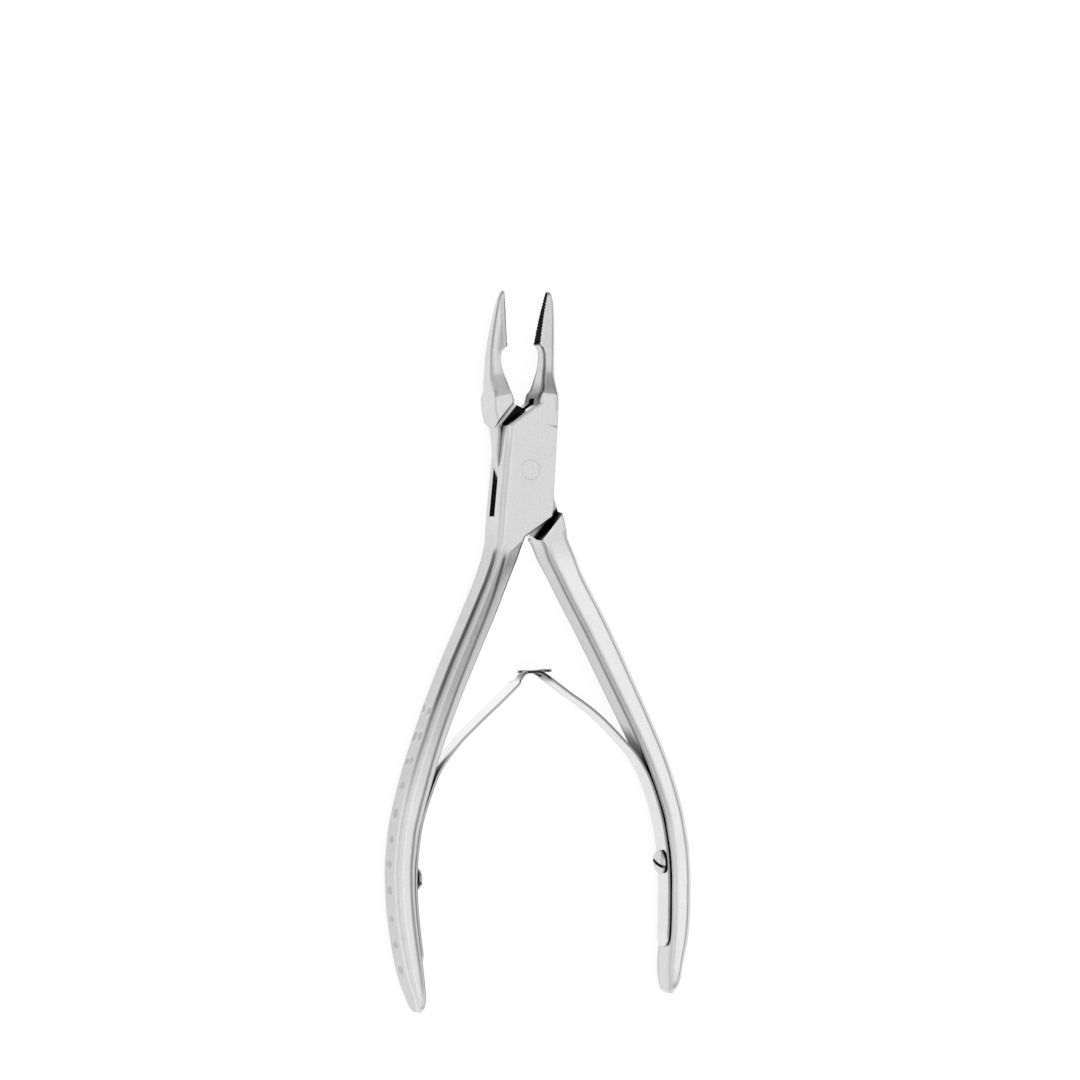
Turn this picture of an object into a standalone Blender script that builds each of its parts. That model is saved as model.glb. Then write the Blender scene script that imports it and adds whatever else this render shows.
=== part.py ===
"""Spring-handled box-joint pliers with slim grozing jaws, lying flat.

Frame: metres, +Z up. The origin is on the pivot axis, at the underside of the
box joint. +Y runs towards the jaws, along the line midway between the handles.
Both arms are drawn shut, in one common frame, and then each turned about the
pivot by OPEN_HALF_DEG, to the pose the leaf springs hold them in.
Lengths in the constants below are millimetres, angles are degrees.
"""

import math

import bmesh
import bpy
import numpy as np
from mathutils import Matrix, Vector

MM = 0.001

# ---------------------------------------------------------------- dimensions
OPEN_HALF_DEG = 7.8          # each arm turns this far from shut to its rest pose
THICK = 7.0                  # box joint and handles
MID_Z = THICK / 2
PLATE = 2.30                 # each of the female arm's two box plates
TONGUE_CLEAR = 0.08          # tongue to plate, on each side
PIN_R = 2.0
PLATE_BORE_R = 2.03
TONGUE_BORE_R = 2.05
SHOULDER_GAP = 0.35          # plate edge to the male arm's lower shoulder, shut

BOX_LEFT = -6.0
PLATE_TOP_LEFT = ((-6.0, 8.2), (0.34, 13.34))      # slanting upper edge of the plates
PLATE_LOW_RIGHT = ((0.2, -13.4), (5.8, -8.8))       # slanting lower edge of the plates
SLOT_SLOPE = -0.809          # both closed ends of the slot run at this slope
SLOT_Y0 = 14.79              # and cross x = 0 this far above and below the pivot
SHOULDER_FLOOR = 0.45        # foot of the upper shoulder's ramp, from the plate edge
SHOULDER_CREST = 1.6         # its crest

# Each handle's edges below the box joint, shut: y, distance of its outer edge
# from the middle line, distance of its inner edge.
FEMALE_HANDLE = (
    (-109.4, 12.95, 12.15),
    (-108.6, 13.40, 11.80),
    (-107.0, 14.10, 11.85),
    (-104.0, 15.68, 12.43),
    (-100.0, 17.29, 13.36),
    (-96.0, 18.54, 14.35),
    (-90.0, 20.05, 15.65),
    (-85.0, 20.84, 16.45),
    (-80.0, 21.33, 16.86),
    (-75.0, 21.34, 16.76),
    (-70.0, 20.92, 16.07),
    (-65.0, 20.10, 15.05),
    (-60.0, 19.10, 14.00),
    (-55.0, 17.83, 12.70),
    (-50.0, 16.53, 11.20),
    (-45.0, 15.03, 9.60),
    (-40.0, 13.45, 7.88),
    (-35.0, 11.70, 6.16),
    (-30.0, 9.91, 4.44),
    (-26.0, 8.53, 3.20),
    (-22.0, 7.20, 2.05),
    (-18.0, 6.25, 0.95),
)
MALE_HANDLE = (
    (-109.5, 14.25, 13.45),
    (-108.7, 14.80, 12.95),
    (-107.0, 15.75, 13.05),
    (-104.0, 16.75, 13.45),
    (-100.0, 18.45, 14.45),
    (-96.0, 19.70, 15.45),
    (-90.0, 20.95, 16.60),
    (-85.0, 21.75, 17.45),
    (-80.0, 22.16, 17.85),
    (-75.0, 22.11, 17.85),
    (-70.0, 21.65, 17.25),
    (-65.0, 20.87, 16.30),
    (-60.0, 19.77, 15.10),
    (-55.0, 18.43, 13.60),
    (-50.0, 16.99, 11.95),
    (-45.0, 15.50, 10.30),
    (-40.0, 14.02, 8.65),
    (-35.0, 12.45, 6.95),
    (-30.0, 10.76, 5.15),
    (-26.0, 9.30, 3.70),
    (-22.0, 7.93, 2.38),
    (-18.0, 6.88, 1.01),
)
# Edges of each arm from the handle's root to the jaw tip, shut: (y, x) runs.
# A run is smooth; where one ends and the next starts, the edge has a corner.
FEMALE_LEFT = (
    ((-15.0, -5.85), (-12.0, -5.95), (-9.0, BOX_LEFT)),
    ((-9.0, BOX_LEFT), (8.2, BOX_LEFT)),
    ((8.2, -6.0), (13.34, 0.34)),
    ((13.34, 0.34), (15.2, 0.60), (16.2, 1.20), (18.6, 1.45), (21.1, 1.66), (23.4, 1.52), (24.3, 1.22), (25.0, 0.68), (25.3, 0.36)),
    ((25.3, 0.36), (28.0, 0.52), (31.0, 0.80), (33.5, 1.10), (35.5, 1.40)),
    ((35.5, 1.40), (36.0, 1.62)),
)
FEMALE_RIGHT = (
    ((-16.0, -0.50), (-14.6, -0.12), (-13.4, 0.20)),
    ((-13.4, 0.20), (-8.8, 5.80)),
    ((-8.8, 5.80), (-6.0, 5.74), (-1.5, 5.56), (4.5, 5.36), (8.5, 5.18), (14.5, 4.80), (16.5, 4.52), (19.5, 4.30), (22.5, 4.05), (28.5, 3.60), (32.0, 3.26), (34.4, 2.86), (35.5, 2.50)),
    ((35.5, 2.50), (36.0, 2.10)),
)
MALE_LEFT = (
    ((-16.0, 0.65), (-15.0, 0.36), (-13.9, -0.30)),
    ((-13.9, -0.30), (-9.2, -5.85)),
    ((-9.2, -5.85), (1.0, -5.85), (5.0, -5.70), (8.0, -5.50), (10.0, -5.40), (11.5, -5.50), (12.7, -5.60), (15.1, -5.42), (17.1, -5.10), (19.5, -4.78), (22.0, -4.25), (24.6, -3.62), (27.3, -2.72), (30.35, -1.52), (32.6, -0.60), (34.8, 0.42), (35.5, 0.90)),
    ((35.5, 0.90), (36.0, 1.30)),
)
MALE_RIGHT = (
    ((-15.0, 5.90), (-12.0, 5.85), (-9.0, 5.50)),
    ((-9.0, 5.50), (-7.0, 5.20), (10.0, 4.90)),
    ((10.0, 4.90), (13.9, -0.95)),
    ((13.9, -0.95), (14.8, -1.15), (16.9, -1.38), (19.35, -1.52), (21.4, -1.68), (22.6, -1.62), (24.0, -1.10), (24.7, -0.33), (25.0, 0.24)),
    ((25.0, 0.24), (28.0, 0.68), (31.0, 1.18), (33.5, 1.58), (35.5, 1.84)),
    ((35.5, 1.84), (36.0, 1.72)),
)

# Thickness along an arm: y, lowest z of the upper face above the mid-plane.
HALF_THICK = (
    ((-109.4, 1.2), (-108.6, 2.3), (-107.0, 3.0), (-104.0, 3.4), (-100.0, 3.5)),
    ((-100.0, 3.5), (15.5, 3.5)),
    ((15.5, 3.5), (15.7, 3.45), (19.3, 2.32), (20.0, 2.14), (25.0, 1.60), (30.0, 1.15), (35.5, 0.62)),
    ((35.5, 0.62), (36.0, 0.34)),
)

# Edge forms along an arm: y, width of the corner, its depth, drop of the
# crowned face beside it, crown (0 flat, 1 crowned to the far bevel), roundness.
OUTER_FORM = (
    (-109.4, 0.30, 0.5, 0.20, 1.0, 1.0),
    (-104.0, 0.90, 1.2, 0.60, 1.0, 1.0),
    (-20.0, 1.00, 1.3, 0.55, 1.0, 1.0),
    (-13.0, 0.75, 0.6, 0.02, 0.0, 0.8),
    (8.2, 0.75, 0.6, 0.0, 0.0, 0.8),
    (9.5, 0.40, 0.4, 0.0, 0.0, 0.6),
    (15.5, 0.40, 0.4, 0.0, 0.0, 0.6),
    (20.0, 1.30, 1.3, 0.0, 0.0, 1.0),
    (36.0, 0.90, 1.0, 0.0, 0.0, 1.0),
)
INNER_FORM = (
    (-109.4, 0.30, 0.4, 0.0, 0.0, 0.5),
    (-104.0, 1.00, 0.6, 0.0, 0.0, 0.1),
    (-60.0, 1.30, 0.7, 0.0, 0.0, 0.1),
    (-19.0, 1.35, 0.7, 0.0, 0.0, 0.1),
    (-14.0, 0.50, 0.4, 0.0, 0.0, 0.5),
    (15.5, 0.50, 0.4, 0.0, 0.0, 0.5),
    (20.0, 0.60, 0.6, 0.0, 0.0, 0.3),
    (24.5, 0.45, 0.5, 0.0, 0.0, 0.2),
    (25.5, 0.16, 0.2, 0.0, 0.0, 0.0),
    (36.0, 0.12, 0.15, 0.0, 0.0, 0.0),
)

# Leaf springs, each in its own arm's frame, shut: distance out, y. Each lies on
# its handle's inner face up to LEAF_SEAT_TOP and then springs clear of it.
LEAF_SEAT = (-100.0, -96.0, -92.0, -88.0, -83.2, -79.0)
LEAF_GAP = 0.15              # leaf to handle face
LEFT_LEAF_FREE = ((16.30, -75.0), (15.95, -71.5), (15.15, -67.9), (14.05, -63.9), (12.90, -60.9), (11.10, -57.9),
                  (8.90, -54.9), (6.40, -52.1), (3.80, -49.3), (1.20, -46.6))
RIGHT_LEAF_FREE = ((17.35, -75.0), (16.95, -71.0), (16.25, -67.0), (15.30, -63.8), (13.75, -60.3), (11.60, -57.1),
                   (9.30, -53.9), (6.90, -50.9), (4.30, -48.2), (1.70, -45.8))
LEAF_T = 0.62
LEAF_W = 4.8
LEAF_TONGUE_W = 2.3          # the left leaf's end passes through the right leaf's fork
LEAF_FORK_W = 2.9
LEAF_CROSS = (0.64, -40.35)  # where they hook together, rest pose

TONGUE_END = ((-3.55, -1.75), (-2.75, -0.80), (-2.0, -0.22), (-1.1, 0.0), (0.4, 0.0), (2.1, 0.06), (3.1, 0.12))
FORK_END = ((2.7, -1.35), (1.8, -0.72), (0.95, -0.22), (0.1, 0.0), (-1.1, 0.0), (-2.25, 0.0))
LEAF_FORK_ROOT = 2.15        # the fork's slot starts here, from the crossing
LEAF_HEAD_W = 4.4            # cross-piece at the tongue's tip

SCREW_Y = -83.2
SCREW_HEAD_R = 2.35
SCREW_HEAD_H = 1.25
SCREW_SHANK_R = 1.15
SCREW_HOLE_R = 1.22
SCREW_DEPTH = 2.2
LEAF_HOLE_R = 1.45

ARC_STEPS = 2                # facets of each rounded edge
LEAF_STEPS = 2               # facets between two points of a leaf's centre line


# ---------------------------------------------------------------- helpers
def smooth(run, at):
    """A monotone cubic through one run of (position, value) points."""
    x = np.array([p[0] for p in run], float)
    v = np.array([p[1] for p in run], float)
    if len(x) == 2:
        return float(np.interp(at, x, v))
    h, d = np.diff(x), np.diff(v) / np.diff(x)
    m = np.zeros(len(x))
    for i in range(1, len(x) - 1):
        if d[i - 1] * d[i] > 0:
            a, b = 2 * h[i] + h[i - 1], h[i] + 2 * h[i - 1]
            m[i] = (a + b) / (a / d[i - 1] + b / d[i])
    m[0], m[-1] = d[0], d[-1]
    i = int(np.clip(np.searchsorted(x, at) - 1, 0, len(h) - 1))
    t = (at - x[i]) / h[i]
    return float(
        (2 * t**3 - 3 * t**2 + 1) * v[i]
        + (t**3 - 2 * t**2 + t) * h[i] * m[i]
        + (3 * t**2 - 2 * t**3) * v[i + 1]
        + (t**3 - t**2) * h[i] * m[i + 1]
    )


def along(runs, at):
    """The value of a run of runs at this position."""
    for run in runs:
        if at <= run[-1][0] + 1e-9:
            return smooth(run, max(at, run[0][0]))
    return smooth(runs[-1], runs[-1][-1][0])


def form(table, at):
    cols = np.array(table, float)
    return [float(np.interp(at, cols[:, 0], cols[:, k])) for k in range(1, cols.shape[1])]


def corner(wide, deep, drop, roundness, steps):
    """From the side face, deep below the crest, to wide inwards and drop below it."""
    points = []
    for i in range(steps + 1):
        t = i / steps
        a = t * math.pi / 2
        arc = (wide * (1 - math.cos(a)), drop + (deep - drop) * (1 - math.sin(a)))
        flat = (wide * t, deep + (drop - deep) * t)
        points.append(tuple(roundness * p + (1 - roundness) * q for p, q in zip(arc, flat)))
    return points


def section(left, right, half, left_form, right_form, steps=ARC_STEPS):
    """Closed outline in x and z, symmetrical about the mid-plane."""
    width = right - left
    lw, ld, ldrop, lcrown, lround = left_form
    rw, rd, rdrop, rcrown, rround = right_form
    flat = width - lw - rw
    lridge = lw + 0.05 * width + lcrown * (flat - 0.12 * width)
    rridge = rw + 0.05 * width + rcrown * (flat - 0.12 * width)
    fit = min(1.0, 0.9 * width / (lridge + rridge))
    lw, rw, lridge, rridge = (fit * a for a in (lw, rw, lridge, rridge))
    low = min(1.0, 0.85 * half / max(ld, rd))
    ld, rd, ldrop, rdrop = (low * a for a in (ld, rd, ldrop, rdrop))
    top = [(left + a, half - b) for a, b in corner(lw, ld, ldrop * lcrown, lround, steps)]
    top += [(left + lridge, half), (right - rridge, half)]
    top += [(right - a, half - b) for a, b in reversed(corner(rw, rd, rdrop * rcrown, rround, steps))]
    return [(x, MID_Z + z) for x, z in top] + [(x, MID_Z - z) for x, z in reversed(top)]


def new_object(name, bm, material, turn=0.0):
    bmesh.ops.recalc_face_normals(bm, faces=bm.faces)
    mesh = bpy.data.meshes.new(name)
    bm.to_mesh(mesh)
    bm.free()
    if material:
        mesh.materials.append(material)
    obj = bpy.data.objects.new(name, mesh)
    obj.rotation_euler = (0, 0, math.radians(turn))
    bpy.context.scene.collection.objects.link(obj)
    return obj


def loft(rings, close_ends=True):
    """A tube of faces through rings of as many points each, in millimetres."""
    bm = bmesh.new()
    rows = [[bm.verts.new(Vector(p) * MM) for p in ring] for ring in rings]
    count = len(rows[0])
    for a, b in zip(rows, rows[1:]):
        for i in range(count):
            j = (i + 1) % count
            bm.faces.new((a[i], a[j], b[j], b[i]))
    if close_ends:
        bm.faces.new(rows[0][::-1])
        bm.faces.new(rows[-1])
    return bm


def prism(points_low, z_low, points_high, z_high):
    rings = [[(x, y, z_low) for x, y in points_low], [(x, y, z_high) for x, y in points_high]]
    return loft(rings)


def disc_stack(profile, sides):
    """A turned solid about z: (radius, z) pairs from one end to the other."""
    rings = []
    for r, z in profile:
        angles = [2 * math.pi * (i + 0.37) / sides for i in range(sides)]
        rings.append([(r * math.cos(a), r * math.sin(a), z) for a in angles])
    return loft(rings)


def cut(obj, cutter, operation="DIFFERENCE"):
    cutter.hide_render = True
    cutter.display_type = "WIRE"
    modifier = obj.modifiers.new(cutter.name, "BOOLEAN")
    modifier.operation = operation
    modifier.solver = "EXACT"
    modifier.object = cutter
    return modifier


def steel(name, colour, roughness):
    material = bpy.data.materials.new(name)
    material.use_nodes = True
    bsdf = material.node_tree.nodes["Principled BSDF"]
    bsdf.inputs["Base Color"].default_value = (*colour, 1)
    bsdf.inputs["Metallic"].default_value = 1.0
    bsdf.inputs["Roughness"].default_value = roughness
    return material


def smooth_shading(obj, degrees=28):
    obj.data.shade_smooth()
    obj.data.set_sharp_from_angle(angle=math.radians(degrees))


# ---------------------------------------------------------------- arms
def rest_turn(female):
    return -OPEN_HALF_DEG if female else OPEN_HALF_DEG


def stations(tip):
    """Where an arm's sections lie: closer together where an edge turns."""
    ys = [tip, tip + 0.4, tip + 0.8, tip + 1.6, tip + 2.4, tip + 3.9, tip + 5.4, -102.0]
    ys += list(np.arange(-100.0, -25.0, 3.0)) + [-25.0, -23.5, -22.0, -20.0, -18.0, -17.0, -16.0, -15.0, -14.6, -13.9, -13.4]
    ys += [-12.0, -10.5, -9.2, -9.0, -8.8, -7.0, -4.0, 0.0, 4.0, 8.2, 9.5, 10.0, 11.5, 12.7, 13.34, 13.9, 14.8, 15.5]
    ys += [15.7, 16.2, 16.7, 17.3, 18.0, 18.6, 19.3, 20.0, 20.7, 21.5, 22.6, 23.4, 24.0, 24.4, 24.7, 25.0, 25.3]
    ys += [26.5, 28.0, 29.5, 31.0, 32.3, 33.5, 34.8, 35.5, 36.0]
    return sorted(set(float(y) for y in ys))


def edge(y, runs, handle, column, sign):
    """An edge's x: the handle's profile up to the root, then the arm's own runs."""
    first = runs[0][0]
    if y >= first[0]:
        return along(runs, y)
    profile = [(row[0], sign * row[column]) for row in handle]
    return smooth(profile + [first], y)


def arm(name, left_runs, right_runs, female, material):
    sign, handle = (-1.0, FEMALE_HANDLE) if female else (1.0, MALE_HANDLE)
    tip = handle[0][0]
    rings = []
    for y in stations(tip):
        left = edge(y, left_runs, handle, 1 if female else 2, sign)
        right = edge(y, right_runs, handle, 2 if female else 1, sign)
        half = along(HALF_THICK, y - (tip + 109.4) * (y < -98.0))
        outer, inner = form(OUTER_FORM, y), form(INNER_FORM, y)
        # below the pivot the outer side is the handle's, above it the jaw's
        left_is_outer = female if y < 0 else not female
        if abs(y) < 9:
            inner = form(INNER_FORM, 0.0)
            outer = form(OUTER_FORM, -9.0) if female else inner
            left_is_outer = True
        ring = section(left, right, half, *((outer, inner) if left_is_outer else (inner, outer)))
        rings.append([(x, y, z) for x, z in ring])
    obj = new_object(name, loft(rings), material, rest_turn(female))
    smooth_shading(obj)
    return obj


def shifted(line, distance, reach):
    """Both ends of a line moved sideways to its left, and it runs on past each end."""
    (x0, y0), (x1, y1) = line
    length = math.hypot(x1 - x0, y1 - y0)
    ux, uy = (x1 - x0) / length, (y1 - y0) / length
    nx, ny = -uy * distance, ux * distance
    return (x0 + nx - ux * reach, y0 + ny - uy * reach), (x1 + nx + ux * reach, y1 + ny + uy * reach)


def female_slot():
    """The slot that the tongue passes through: between the plates, and between its two slanting ends."""
    points = []
    for side in (1, -1):
        for x in (11.0, -3.0):
            points.append((side * x, side * (SLOT_SLOPE * x + SLOT_Y0)))
        points.append((side * -11.0, side * (SLOT_SLOPE * -3.0 + SLOT_Y0)))
    return prism(points, PLATE, points, THICK - PLATE)


def male_recess(upper):
    """What is cut away over the tongue, with a ramp at the jaw's shoulder and a wall at the handle's."""
    floor = shifted(PLATE_TOP_LEFT, SHOULDER_FLOOR, 6.0)
    crest = shifted(PLATE_TOP_LEFT, SHOULDER_CREST, 6.0)
    wall = shifted(PLATE_LOW_RIGHT, -SHOULDER_GAP, 6.0)
    wall_top = shifted(PLATE_LOW_RIGHT, -SHOULDER_GAP - 0.25, 6.0)
    far = 14.0
    at_floor = [floor[0], floor[1], (far, floor[1][1]), (far, wall[1][1]), wall[1], wall[0], (-far, wall[0][1]), (-far, floor[0][1])]
    at_top = [crest[0], crest[1], (far, crest[1][1]), (far, wall_top[1][1]), wall_top[1], wall_top[0], (-far, wall_top[0][1]), (-far, crest[0][1])]
    depth = THICK - PLATE - TONGUE_CLEAR - MID_Z
    out = THICK / 2 + 0.6
    rise = (out - depth) / (THICK / 2 - depth)
    at_out = [(a + (c - a) * rise, b + (d - b) * rise) for (a, b), (c, d) in zip(at_floor, at_top)]
    if upper:
        return prism(at_floor, MID_Z + depth, at_out, MID_Z + out)
    return prism(at_out, MID_Z - out, at_floor, MID_Z - depth)


def bore(radius, low, high, sides=32):
    return disc_stack([(radius, low), (radius, high)], sides)


def seat_point(female, y):
    """A point on the handle's inner face, shut, and the direction out of the face."""
    sign, handle = (-1.0, FEMALE_HANDLE) if female else (1.0, MALE_HANDLE)
    profile = [(row[0], row[2]) for row in handle]
    x = smooth(profile, y)
    slope = (smooth(profile, y + 0.5) - smooth(profile, y - 0.5)) / 1.0
    out = Vector((-sign, sign * sign * slope, 0.0)).normalized()
    return Vector((sign * x, y, 0.0)), out


def screw_frame(female):
    """Matrix from the screw's own axis (+Z out of its head) to the arm, shut: the head faces the other handle."""
    point, out = seat_point(female, SCREW_Y)
    turn = out.to_track_quat("Z", "Y").to_matrix().to_4x4()
    return Matrix.Translation((point + Vector((0, 0, MID_Z))) * MM) @ turn


def placed(bm, matrix):
    bmesh.ops.transform(bm, matrix=matrix, verts=bm.verts)
    return bm


def make_arms(steels):
    female = arm("female_arm", FEMALE_LEFT, FEMALE_RIGHT, True, steels["female"])
    male = arm("male_arm", MALE_LEFT, MALE_RIGHT, False, steels["male"])
    open_f, open_m = rest_turn(True), rest_turn(False)
    cut(female, new_object("cut_slot", female_slot(), None, open_f))
    cut(female, new_object("cut_plate_bore", bore(PLATE_BORE_R, -1.0, THICK + 1.0), None, open_f))
    cut(male, new_object("cut_recess_top", male_recess(True), None, open_m))
    cut(male, new_object("cut_recess_bottom", male_recess(False), None, open_m))
    cut(male, new_object("cut_tongue_bore", bore(TONGUE_BORE_R, -1.0, THICK + 1.0), None, open_m))
    for obj, is_female, turn in ((female, True, open_f), (male, False, open_m)):
        hole = disc_stack([(SCREW_HOLE_R, -SCREW_DEPTH - 0.25), (SCREW_HOLE_R, 1.5)], 16)
        cut(obj, new_object("cut_tapping_" + obj.name, placed(hole, screw_frame(is_female)), None, turn))
    return female, male


def make_pin(material):
    r = PIN_R
    profile = [(r - 0.12, 0.0), (r, 0.12), (r, THICK - 0.12), (r - 0.12, THICK)]
    obj = new_object("pivot_pin", disc_stack(profile, 32), material, rest_turn(True))
    smooth_shading(obj)
    return obj


# ---------------------------------------------------------------- springs
def leaf_path(female, end):
    """The leaf's centre line in the rest pose: along the handle, out to the middle, and its hooked end."""
    sign = -1.0 if female else 1.0
    pts = []
    for y in LEAF_SEAT:
        point, out = seat_point(female, y)
        pts.append(point + out * (LEAF_GAP + LEAF_T / 2))
    pts += [Vector((sign * x, y, 0.0)) for x, y in (LEFT_LEAF_FREE if female else RIGHT_LEAF_FREE)]
    turn = Matrix.Rotation(math.radians(rest_turn(female)), 3, "Z")
    pts = [turn @ p for p in pts]
    pts += [Vector((LEAF_CROSS[0] + x, LEAF_CROSS[1] + y, 0.0)) for x, y in end]
    fine = []
    for i in range(len(pts) - 1):
        p0, p1, p2 = pts[max(i - 1, 0)], pts[i], pts[i + 1]
        p3 = pts[min(i + 2, len(pts) - 1)]
        for k in range(LEAF_STEPS):
            t = k / LEAF_STEPS
            fine.append(0.5 * ((2 * p1) + (p2 - p0) * t + (2 * p0 - 5 * p1 + 4 * p2 - p3) * t**2 + (3 * p1 - p0 - 3 * p2 + p3) * t**3))
    fine.append(pts[-1])
    return fine


def ribbon(path, width_at, thick):
    rings = []
    for i, p in enumerate(path):
        a, b = path[max(i - 1, 0)], path[min(i + 1, len(path) - 1)]
        side = (b - a).normalized().cross(Vector((0, 0, 1)))
        w = width_at(i, len(path)) / 2
        t = thick / 2
        bevel = 0.12
        ring = []
        for sx, sz, inner in ((-1, -1, 0), (-1, -1, 1), (-1, 1, 1), (-1, 1, 0), (1, 1, 0), (1, 1, 1), (1, -1, 1), (1, -1, 0)):
            off_x = sx * (t if inner else t - bevel)
            off_z = sz * (w - bevel if inner else w)
            ring.append((p.x + side.x * off_x, p.y + side.y * off_x, MID_Z + off_z))
        rings.append(ring)
    return loft(rings)


def make_leaf(name, female, material):
    """A leaf with its hooked end: the left one's tongue runs through the right one's fork."""
    end = TONGUE_END if female else FORK_END

    def width_at(i, count):
        if not female:
            return LEAF_W
        from_end = (count - 1 - i) / LEAF_STEPS
        if from_end < 0.6:
            return LEAF_HEAD_W
        if from_end < len(end) + 0.3:
            return LEAF_TONGUE_W
        return LEAF_W

    obj = new_object(name, ribbon(leaf_path(female, end), width_at, LEAF_T), material)
    # the clearance hole for its screw, set out with the arm in its rest pose
    turn = Matrix.Rotation(math.radians(rest_turn(female)), 4, "Z")
    hole = disc_stack([(LEAF_HOLE_R, -1.5), (LEAF_HOLE_R, 2.5)], 20)
    cut(obj, new_object("cut_hole_" + name, placed(hole, turn @ screw_frame(female)), None))
    if not female:
        half, root = LEAF_FORK_W / 2, LEAF_CROSS[0] + LEAF_FORK_ROOT
        outline = [(-6.0, -46.0), (root, -46.0), (root, -34.0), (-6.0, -34.0)]
        cut(obj, new_object("cut_fork", prism(outline, MID_Z - half, outline, MID_Z + half), None))
    smooth_shading(obj, 35)
    return obj


def make_screw(name, female, material):
    """A slotted round-head screw: its head bears on the leaf, its shank ends in the handle."""
    seat = 0.12 + LEAF_T + 0.30
    r, h = SCREW_HEAD_R, SCREW_HEAD_H
    profile = [(SCREW_SHANK_R - 0.25, -SCREW_DEPTH), (SCREW_SHANK_R, -SCREW_DEPTH + 0.25), (SCREW_SHANK_R, seat), (r, seat + 0.02), (r, seat + 0.45 * h)]
    profile += [(r * 0.90, seat + 0.78 * h), (r * 0.68, seat + 0.93 * h), (r * 0.35, seat + h)]
    place = Matrix.Rotation(math.radians(rest_turn(female)), 4, "Z") @ screw_frame(female)
    obj = new_object(name, placed(disc_stack(profile, 24), place), material)
    slot = bmesh.new()
    bmesh.ops.create_cube(slot, size=1.0)
    bmesh.ops.scale(slot, vec=Vector((0.7, 6.0, 0.6 * h)) * MM, verts=slot.verts)
    bmesh.ops.translate(slot, vec=Vector((0, 0, seat + h * 0.9)) * MM, verts=slot.verts)
    bmesh.ops.rotate(slot, cent=Vector((0, 0, 0)), matrix=Matrix.Rotation(math.radians(22.0), 3, "Z"), verts=slot.verts)
    cut(obj, new_object("cut_slot_" + name, placed(slot, place), None))
    smooth_shading(obj, 35)
    return obj


# ---------------------------------------------------------------- build
for old in list(bpy.data.objects):
    bpy.data.objects.remove(old)

steels = {
    "female": steel("satin_steel_female", (0.72, 0.72, 0.72), 0.30),
    "male": steel("satin_steel_male", (0.70, 0.70, 0.70), 0.30),
    "pin": steel("pin_steel", (0.72, 0.72, 0.72), 0.28),
    "spring": steel("spring_steel", (0.62, 0.62, 0.62), 0.24),
    "screw": steel("screw_steel", (0.50, 0.50, 0.50), 0.22),
}
make_arms(steels)
make_pin(steels["pin"])
make_leaf("left_leaf_spring", True, steels["spring"])
make_leaf("right_leaf_spring", False, steels["spring"])
make_screw("left_spring_screw", True, steels["screw"])
make_screw("right_spring_screw", False, steels["screw"])
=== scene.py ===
"""The looks of the box-joint pliers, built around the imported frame. Lengths in the tables are millimetres."""

import math

import bmesh
import bpy
import numpy as np
from mathutils import Matrix, Vector
from mathutils.bvhtree import BVHTree


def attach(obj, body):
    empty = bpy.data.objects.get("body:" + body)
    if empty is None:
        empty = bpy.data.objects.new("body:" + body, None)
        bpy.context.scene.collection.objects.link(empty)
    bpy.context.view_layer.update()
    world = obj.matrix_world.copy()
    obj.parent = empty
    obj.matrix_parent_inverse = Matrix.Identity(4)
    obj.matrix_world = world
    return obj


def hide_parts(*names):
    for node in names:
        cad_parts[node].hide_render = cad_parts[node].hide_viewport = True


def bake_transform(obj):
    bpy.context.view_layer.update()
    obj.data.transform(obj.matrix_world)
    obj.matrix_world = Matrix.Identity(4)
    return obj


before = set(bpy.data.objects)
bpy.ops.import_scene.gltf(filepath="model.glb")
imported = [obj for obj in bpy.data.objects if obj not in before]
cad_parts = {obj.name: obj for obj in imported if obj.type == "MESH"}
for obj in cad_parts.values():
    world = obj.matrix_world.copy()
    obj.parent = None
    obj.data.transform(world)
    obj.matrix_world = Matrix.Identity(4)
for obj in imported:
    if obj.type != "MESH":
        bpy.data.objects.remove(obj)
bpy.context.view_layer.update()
MM = 0.001

# ---------------------------------------------------------------- the design's own sizes
OPEN_HALF_DEG = 7.8
THICK = 7.0
MID_Z = THICK / 2
PLATE = 2.30
TONGUE_CLEAR = 0.08
SHOULDER_GAP = 0.35
BOX_LEFT = -6.0
PLATE_TOP_LEFT = ((-6.0, 8.2), (0.34, 13.34))
PLATE_LOW_RIGHT = ((0.2, -13.4), (5.8, -8.8))
SLOT_SLOPE = -0.809
SLOT_Y0 = 14.79
SHOULDER_FLOOR = 0.45
SHOULDER_CREST = 1.6
PIN_R = 2.0
SCREW_Y = -83.2

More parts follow.
